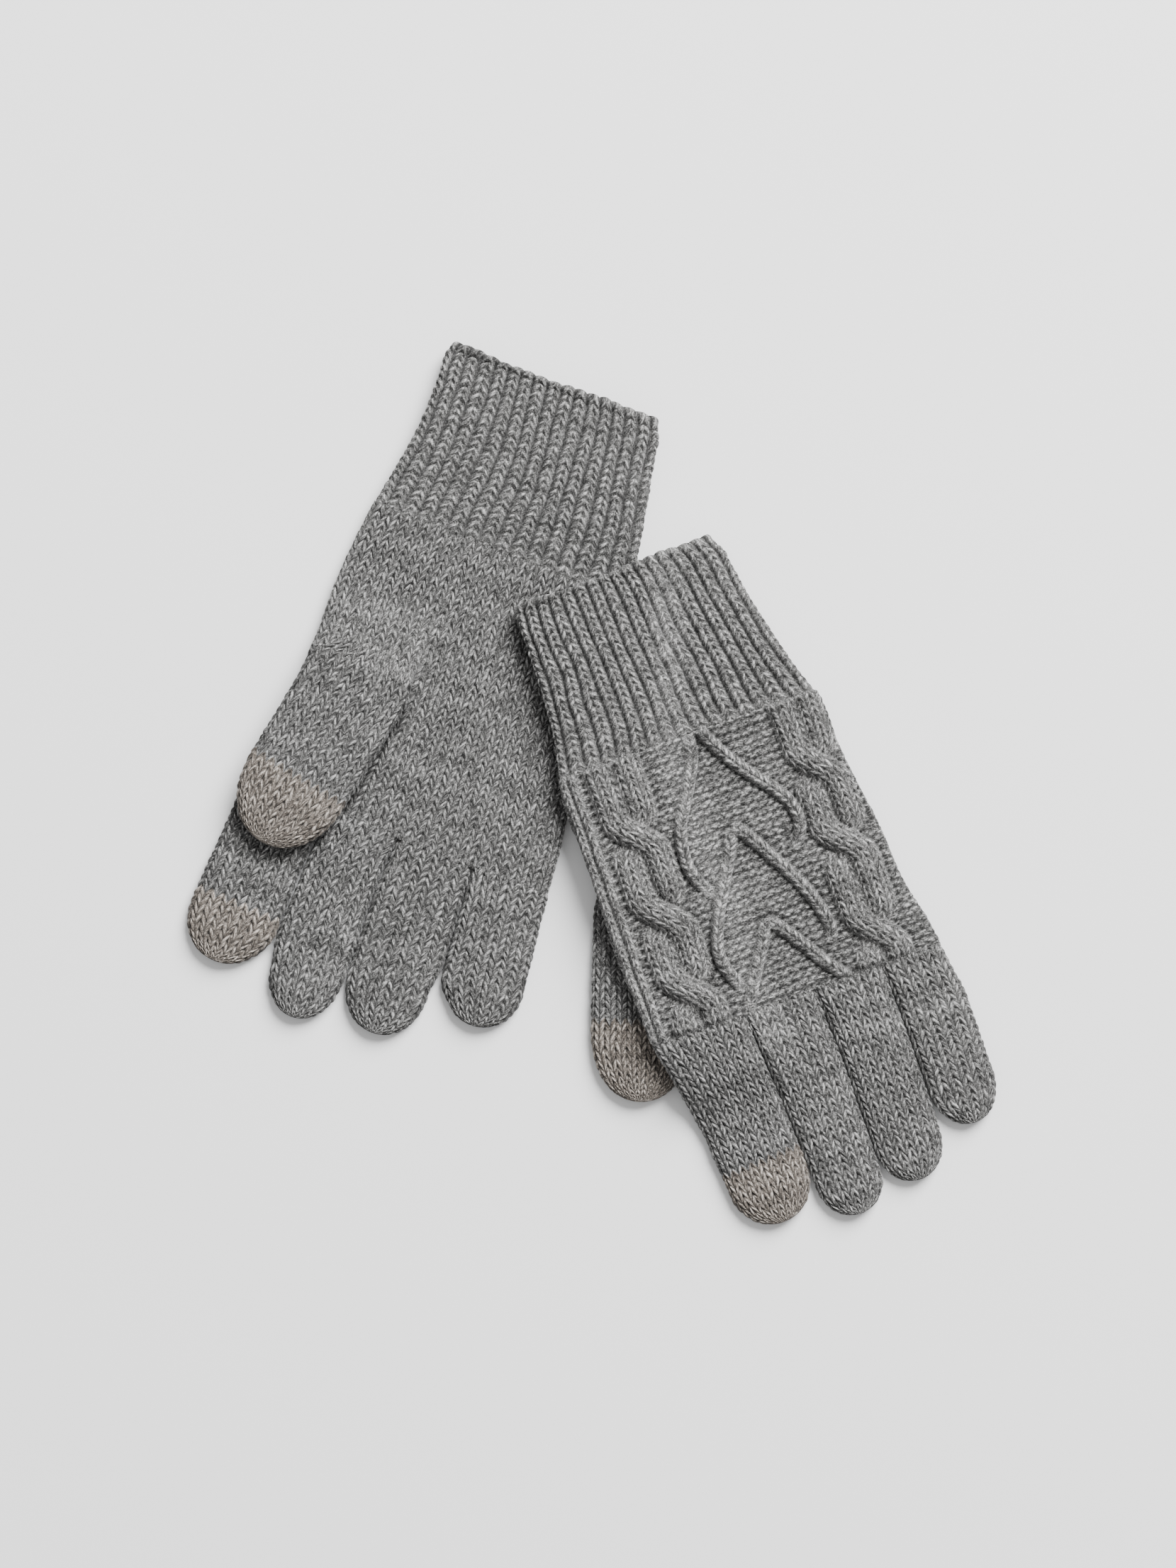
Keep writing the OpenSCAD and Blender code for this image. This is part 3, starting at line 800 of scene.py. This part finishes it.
def lay_cable(relief, middle, crossings, half):
    """two strands, three wales wide each, that cross and change places"""
    u, v = relief.u, relief.v
    for number, way in enumerate((-1.0, 1.0)):
        x, up = np.full_like(v, way), np.zeros_like(v)
        for crossing in crossings:
            x = x - 2 * way * smooth((v - crossing + 8.5) / 17)
            up = up + (1.1 if way < 0 else -2.4) * np.exp(-((v - crossing) / 6.2) ** 2)
            way = -way
        line = middle + x * half * 0.5 + 0.35 * noise(v / 13, 0 * v + number, 77)
        slope = np.gradient(line, axis=0) / np.maximum(np.gradient(v, axis=0), 1e-6)
        wide = half * 0.53 * np.sqrt(1 + 0.75 * slope ** 2)
        d = (u - line) / wide
        ridge = np.clip(1 - np.abs(d) ** 2.4, 0, 1) ** 0.62
        q = (v + 0.35 * slope * d * wide) / COURSE_BACK + 7 * number
        f, yarn = knit((d + 1) * 1.5, q, 81 + number)
        height = np.where(ridge > 0, (2.9 + 0.85 * up) * ridge - 0.3 + 0.95 * (f - 1), NOWHERE)
        relief.dip(np.abs(d) * wide, wide)
        relief.lay(height, f, ridge, 0.35, yarn)


def line_coords(u, v, line):
    """distance from a line, the same with its sign, the length along the line, and the line's length"""
    nearest = np.full(u.shape, 1e9)
    signed, along, run = np.zeros(u.shape), np.zeros(u.shape), 0.0
    for a, b in zip(line[:-1], line[1:]):
        e = b - a
        length = float(np.hypot(*e))
        t = np.clip(((u - a[0]) * e[0] + (v - a[1]) * e[1]) / length ** 2, 0, 1)
        dx, dy = u - a[0] - t * e[0], v - a[1] - t * e[1]
        r = np.hypot(dx, dy)
        closer = r < nearest
        nearest = np.where(closer, r, nearest)
        signed = np.where(closer, np.sign(e[0] * dy - e[1] * dx) * r, signed)
        along = np.where(closer, run + t * length, along)
        run += length
    return nearest, signed, along, run


def rounded(points, count=60):
    """a smoother line through the points"""
    line = np.array(points, float)
    s = np.concatenate([[0], np.cumsum(np.hypot(*np.diff(line, axis=0).T))])
    t = np.linspace(0, s[-1], count)
    line = np.stack([np.interp(t, s, line[:, 0]), np.interp(t, s, line[:, 1])], -1)
    for _ in range(6):
        line[1:-1] = (line[:-2] + 2 * line[1:-1] + line[2:]) / 4
    return line


def lay_travelling(relief, number, top, points):
    """a raised strand one stitch wide, that sinks at both ends"""
    r, signed, along, run = line_coords(relief.u, relief.v, rounded(points))
    relief.dip(r, TRAVELLING_HALF * 0.98)
    t = np.clip(r / TRAVELLING_HALF, 0, 1)
    ridge = np.clip(1 - t ** 2.8, 0, 1) ** 0.6
    ends = smooth(along / 5) * smooth((run - along) / 5) * 0.75 + 0.25
    f, yarn = strand(signed, t, -along / 2.9, number, 91)
    height = np.where(r < TRAVELLING_HALF, top * ends * ridge * (0.62 + 0.38 * f) - 0.1, NOWHERE)
    relief.lay(height, f, ridge, 0.45, yarn)


def lay_narrow_rib(relief, number, start, end):
    v = relief.v
    share = (v - CUFF) / (ROOT["left"] - CUFF)
    d = relief.u - start - (end - start) * share - 0.2 * noise(v / 11, 0 * v + number, 95)
    t = np.clip(np.abs(d) / NARROW_HALF, 0, 1)
    ridge = np.clip(1 - t ** 2.4, 0, 1) ** 0.55
    f, yarn = strand(d, t, v / 2.7, number, 97)
    height = np.where(t < 1, 1.8 * ridge + 0.7 * (f - 1) * (ridge > 0.02), NOWHERE)
    relief.lay(height, f, ridge, 0.45, yarn)


def back_knit(side):
    """purl ground with two cables, six travelling stitches and two narrow ribs; the left back lies up"""
    top = side == "left"
    start, end = hand_span(side)
    surface, lengths = hand_surface(side, top, FINE_COLS, bulge=False)
    r = np.linspace(0, end - start, int((end - start) / BACK_STEP))[:, None]
    c = np.linspace(0, 1, int(np.mean(lengths) / BACK_STEP))[None, :]
    P, N = surface.at(r + 0 * c, c * FINE_COLS + 0 * r)
    length = np.interp(r, np.arange(len(lengths)), lengths)
    middle = (edge(side, 1, r + start) + edge(side, -1, r + start)) / 2
    far = ROOT["left"]
    v = CUFF + (r + start - CUFF + 0 * c) * (far - CUFF) / (ROOT[side] - CUFF)
    relief = Relief((c - 0.5) * length - middle, v)
    for cable in CABLES:
        lay_cable(relief, *cable)
    for number, travelling in enumerate(TRAVELLING):
        lay_travelling(relief, number, *travelling)
    for number, ends in enumerate(NARROW_RIBS):
        lay_narrow_rib(relief, number, *ends)
    # both ends of the panel sink, under the cuff and under the fingers
    height = relief.height * smooth((v - CUFF + 0.7) / 2.6) * (0.3 + 0.7 * smooth((far + 0.2 - v) / 2.0))
    height = height - 0.5 * smooth((CUFF + 1.3 - v) / 1.2) - 1.1 * smooth((v - far) / 1.2)
    if top:
        height = height - 0.75
    else:  # pressed against the table
        height = 0.62 * height - 0.55
        P[..., 2] += 1.2 * np.clip(-N[..., 2], 0, 1)
    return knitted_object(side + "_back_knit", side, P, N, height, relief.yarn, relief.band_and_shade, GREY)


# ---------------------------------------------------------------- fingers and thumbs
def flanks(side, name, y):
    """x of both side walls of a finger at y, straight on past its tip"""
    finger = FINGERS[side][name]
    t = np.clip((y - ROOT[side]) / (finger.y - ROOT[side]), 0, 1)
    past = max(y - finger.y, 0) * math.tan(math.radians(finger.lean))
    middle = finger.root_x + (finger.x - finger.root_x) * t + past
    half = finger.root_half + (finger.half - finger.root_half) * t
    return middle + half, middle - half


def swell(side, name, y):
    """how far each side wall spreads until it meets its neighbour: (thumb side, little-finger side)"""
    order = list(FINGERS[side])
    out = []
    for way in (1, -1):
        other = order.index(name) - way
        if not 0 <= other < len(order):
            out.append(0.0)
            continue
        near = order[other]
        mine, theirs = flanks(side, name, y), flanks(side, near, y)
        gap = theirs[1] - mine[0] if way == 1 else mine[1] - theirs[0]
        end = min(FINGERS[side][m].y + ROUND_FROM[m] for m in (name, near))
        out.append(np.clip((gap - 0.15) / 2, -0.6, 2.4) * (1 - smooth((y - end) / 12)))
    return out


class Tube(Surface):
    """the closed tube of a digit, from its root to its rounded tip, with TUBE_ROWS rows to a mm of fabric"""

    def __init__(self, side, digit, start, start_half, round_from, bottom, heights, corners, squared,
                 finger=None):
        """heights are at the start and at the hinge, corners at the start and squared mm on"""
        way, hinge, start = direction(digit.lean), np.array([digit.x, digit.y]), np.array(start)
        self.to_hinge = float(np.hypot(*(hinge - start)))
        tip = (digit.length - round_from) * TIP_FABRIC
        self.total = self.to_hinge + round_from + tip
        lean, draped = math.radians(digit.lean), bottom == 0
        along = np.arange(0, self.total + 0.25, 1 / TUBE_ROWS)
        P, centre = np.zeros((len(along), TUBE_COLS + 1, 3)), np.zeros((len(along), 1, 3))
        angles = np.linspace(0, 2 * np.pi, 1081)
        for r, s in enumerate(along):
            t = min(s / self.to_hinge, 1)
            full = heights[0] + (heights[1] - heights[0]) * t
            turn, closing = lean * smooth(t), 1.0
            middle = start + (hinge - start) * t
            half = start_half + (digit.half - start_half) * t
            past = max(s - self.to_hinge, 0)
            if past > round_from:
                phi = min((past - round_from) / tip, 1) * math.pi / 2 * 0.985
                past = round_from + (digit.length - round_from) * math.sin(phi)
                closing = (1 - math.sin(phi) ** TIP_POWER) ** (1 / TIP_POWER)
            middle, half, thick = middle + way * past, half * closing, full * closing ** 0.55
            if finger:
                thumb_side, far_side = swell(side, finger, middle[1])
                half = half + (thumb_side + far_side) / 2 * closing
                sideways = np.array([math.cos(turn), -math.sin(turn)])
                middle = middle + sideways * (thumb_side - far_side) / 2 * closing
            corner = corners[0] + (corners[1] - corners[0]) * smooth(s / squared)
            x, z = rounded_box(half, thick, corner, angles)
            x, z, _ = even(x, z, TUBE_COLS + 1)
            P[r, :, 0] = middle[0] + x * math.cos(turn)
            P[r, :, 1] = middle[1] - x * math.sin(turn)
            lifted = drape(side, P[r, :, 0], P[r, :, 1]) * draped
            axis = bottom + thick / 2 + (full - thick) * 0.6
            P[r, :, 2] = axis + z + lifted
            centre[r, 0, :2] = middle - (6 * way if closing < 0.5 else 0)
            centre[r, 0, 2] = axis + lifted.mean()
        P[:, -1] = P[:, 0]
        super().__init__(P, centre, closed=True)

    def whole_courses(self, length):
        """the nearest length that ends a course"""
        return round(length / COURSE_FINGER) * COURSE_FINGER

    def cut(self, start, end):
        """flat cut between two lengths, in metres: mean way round, length and widest way round"""
        ways = self.ways_round()[int(start * TUBE_ROWS):int(end * TUBE_ROWS) + 1] / 1000
        return float(ways.mean()), (end - start) / 1000, float(ways.max())


def digit_knit(name, side, tube, wales, start, end, material, seed, cap, first=0.0):
    """plain knit round a tube, between two lengths along it; first is the number of its first course"""
    last = tube.total / COURSE_FINGER
    around = 2 * wales
    p = columns(around, WALE_COLUMNS)[None, :-1]
    rows = max(4, int(round((end - start) / COURSE_FINGER * COURSE_ROWS)))
    q = np.linspace(start / COURSE_FINGER, end / COURSE_FINGER, rows + 1)[:, None]
    q = sheared_rows(q, p, last)
    p = p + 0 * q
    row = q * COURSE_FINGER * TUBE_ROWS
    P, N = tube.at(row, p / around * TUBE_COLS)
    warped_p, warped_q = warp(p, q, seed)
    f, yarn = knit(warped_p, warped_q + first, seed + 40)
    wale = np.interp(row, np.arange(len(tube.P)), tube.ways_round() / around)
    crowded = np.clip(wale / 3.1, 0.25, 1)  # crowded wales are lower
    flank = 0.4 * np.clip(1 - np.abs(N[..., 2]) / 0.6, 0, 1) * smooth((last - q) / 6.0)  # neighbours touch
    height = FINGER_RELIEF[side] * (f - 1.0) * crowded + flank
    from_side = np.abs((p / wales + 0.5) % 1 - 0.5) * wales * wale
    f = f * (1 - SIDE_PAINTED_SHADE[side] * smooth((2.7 - from_side) / 2.0))  # painted shade down the sides, in the creases between digits
    # f, now the band's third value, is painted shade in the knit's hollows
    band_and_shade = band_of(q + 3 * seed, p, f)
    return knitted_object(name, side, P, N, height, yarn, band_and_shade, material, closed=True, cap=cap)


# ---------------------------------------------------------------- the pieces and what they stand for
def flat_cut(piece, width, length, widest=None):
    """A tube is cut open along its length, so its width is the way round it. One with little free rim
    counts as two layers of its flat cut, and then its area is given as well"""
    mesh = piece.data
    points = np.empty(len(mesh.vertices) * 3, np.float32)
    mesh.vertices.foreach_get("co", points)
    points = points.reshape(-1, 3)
    used = np.empty(len(mesh.loops), np.int32)
    mesh.loops.foreach_get("edge_index", used)
    ends = np.empty(len(mesh.edges) * 2, np.int32)
    mesh.edges.foreach_get("vertices", ends)
    free = ends.reshape(-1, 2)[np.bincount(used, minlength=len(mesh.edges)) == 1]
    rim = np.linalg.norm(points[free[:, 0]] - points[free[:, 1]], axis=1).sum()
    if widest and rim < 0.25 * 2 * (width + length):
        return {"flat": (widest, length), "area": 0.93 * width * length}
    return {"flat": (width, length)}


def declare(piece, slot, nodes, flat, rests_on, body=None, blend=None):
    """a piece rides on one body, or blends from one to the next"""
    if blend:
        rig.blend(piece, *blend)
    else:
        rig.ride(piece, body)
    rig.replaces(piece, *nodes)
    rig.slot(piece, slot)
    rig.sheet(piece, held="laid", rests_on=rests_on, **flat_cut(piece, *flat))


def add_cuff(side):
    hand = side + "_hand"
    around = float(2 * (edge(side, 1, 30) - edge(side, -1, 30)) + 12) / 1000  # with both thick edges
    declare(cuff_rib(side), "grey_rib", [side + "_cuff"], (around, 0.058), LIES_ON[side], hand)
    declare(cuff_edge(side), "grey_rib", [side + "_cuff_welt"], (around, 0.048), LIES_ON[side], hand)


def add_hand(side):
    hand = side + "_hand"
    ys = np.arange(61, 160)
    width = float(np.mean(edge(side, 1, ys) - edge(side, -1, ys))) / 1000 + 0.008  # with both rounded edges
    flat = (width, (ROOT[side] - CUFF) / 1000)
    palm_nodes = [side + "_palm"] + ([side + "_thumb_gusset"] if side == "right" else [])
    declare(palm_knit(side), "grey_knit", palm_nodes, flat, LIES_ON[side], hand)
    declare(back_knit(side), "grey_knit", [side + "_back"], flat, LIES_ON[side], hand)


def add_finger(side, number, name):
    finger, body = FINGERS[side][name], f"{side}_{name}"
    tube = Tube(side, finger, (finger.root_x, ROOT[side]), finger.root_half, ROUND_FROM[name], 0,
                heights=(6.0, 5.6), corners=(5.0, 2.4), squared=10, finger=name)
    tipped = name == "index"
    end = tube.whole_courses(tube.to_hinge + finger.length - INDEX_TIP) if tipped else tube.total
    first = (ROOT[side] + 0.2 - CUFF - 0.1) / COURSE
    seed = 100 + 7 * number + 50 * LEFT[side]
    hinge, way = np.array([finger.x, finger.y]), direction(finger.lean)
    blend = (side + "_hand", body, *(world_point(side, hinge + far * way, 2.8) for far in (-6.5, 6.5)))
    piece = digit_knit(body + "_knit", side, tube, finger.wales, 0.0, end, GREY, seed, not tipped, first)
    declare(piece, "grey_knit", [body + "_base", body], tube.cut(0, end), LIES_ON[side], blend=blend)
    if tipped:
        tip = digit_knit(body + "_tip_knit", side, tube, finger.wales, end, tube.total, TAUPE, seed, True,
                         first)
        declare(tip, "taupe_tip", [body + "_tip"], tube.cut(end, tube.total), [], body)


def add_thumb(side):
    """the right thumb is folded over the palm, and the left one lies under the hand with its gusset"""
    thumb, body = THUMB[side], side + "_thumb"
    hinge, way = np.array([thumb.x, thumb.y]), direction(thumb.lean)
    if side == "right":
        tube = Tube(side, thumb, hinge - 9.0 * way, thumb.half - 4.5, 42, 6.25,
                    heights=(5.9, 5.7), corners=(3.4, 3.0), squared=16)
        axis, bend, nodes, rests_on = 6.25 + 5.9 / 2, (-5.0, 8.0), [body], ["right_palm_knit"]
    else:
        tube = Tube(side, thumb, hinge - 26.0 * way, thumb.half - 3, 38, 0.1,
                    heights=(6.2, 6.0), corners=(3.0, 3.0), squared=16)
        axis, bend, nodes, rests_on = 0.1 + 6.2 / 2, (-22.0, 2.0), [body, body + "_gusset"], []
    end = tube.whole_courses(tube.to_hinge + thumb.length - THUMB_TIP)
    seed = 180 + 9 * LEFT[side]
    blend = (side + "_hand", body, *(world_point(side, hinge + far * way, axis) for far in bend))
    piece = digit_knit(body + "_knit", side, tube, thumb.wales, 0.0, end, GREY, seed, False)
    declare(piece, "grey_knit", nodes, tube.cut(0, end), rests_on, blend=blend)
    tip = digit_knit(body + "_tip_knit", side, tube, thumb.wales, end, tube.total, TAUPE, seed, True)
    declare(tip, "taupe_tip", [body + "_tip"], tube.cut(end, tube.total), [], body)


for side in SIDES:
    add_cuff(side)
    add_hand(side)
    for number, name in enumerate(FINGERS[side]):
        add_finger(side, number, name)
    add_thumb(side)


# ---------------------------------------------------------------- floor, light and camera
def add_floor():
    material = bpy.data.materials.new("pale_floor")
    material.use_nodes = True
    shader = material.node_tree.nodes["Principled BSDF"]
    shader.inputs["Base Color"].default_value = (0.80, 0.80, 0.80, 1)
    shader.inputs["Roughness"].default_value = 0.95
    shader.inputs["Specular IOR Level"].default_value = 0.1
    mesh = bpy.data.meshes.new("floor")
    mesh.from_pydata([(-3, -3, 0), (3, -3, 0), (3, 3, 0), (-3, 3, 0)], [], [(0, 1, 2, 3)])
    mesh.materials.append(material)
    floor = bpy.data.objects.new("floor", mesh)
    bpy.context.scene.collection.objects.link(floor)
    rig.stage(floor)


def add_room_light():
    world = bpy.data.worlds.new("soft_room")
    bpy.context.scene.world = world
    world.use_nodes = True
    background = world.node_tree.nodes["Background"]
    background.inputs["Color"].default_value = (1.0, 1.0, 1.0, 1)
    background.inputs["Strength"].default_value = 0.68


def add_key_light(place, size, power):
    """a large soft disc that faces the gloves"""
    light = bpy.data.lights.new("key_light", "AREA")
    light.shape, light.size, light.energy = "DISK", size, power
    lamp = bpy.data.objects.new("key_light", light)
    bpy.context.scene.collection.objects.link(lamp)
    lamp.location = place
    lamp.rotation_euler = (-Vector(place)).to_track_quat("-Z", "Y").to_euler()
    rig.stage(lamp)


def add_camera(place, lens):
    """looks straight down"""
    data = bpy.data.cameras.new("camera")
    data.lens, data.sensor_width, data.sensor_height, data.sensor_fit = lens, 36, 36, "AUTO"
    data.clip_start, data.clip_end = 0.05, 20
    camera = bpy.data.objects.new("camera", data)
    bpy.context.scene.collection.objects.link(camera)
    camera.location = place
    bpy.context.scene.camera = camera


add_floor()
add_room_light()
add_key_light(place=(1.3, 2.05, 1.82), size=2.2, power=393)
add_camera(place=(-0.00127, -0.00109, 1.5), lens=100.1)

final_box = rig.bounds()


def plain(box):
    return [[float(v) for v in corner] for corner in box]


with open("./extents.json", "w") as handle:
    json.dump({"cad": plain(cad_box), "final": plain(final_box)}, handle)
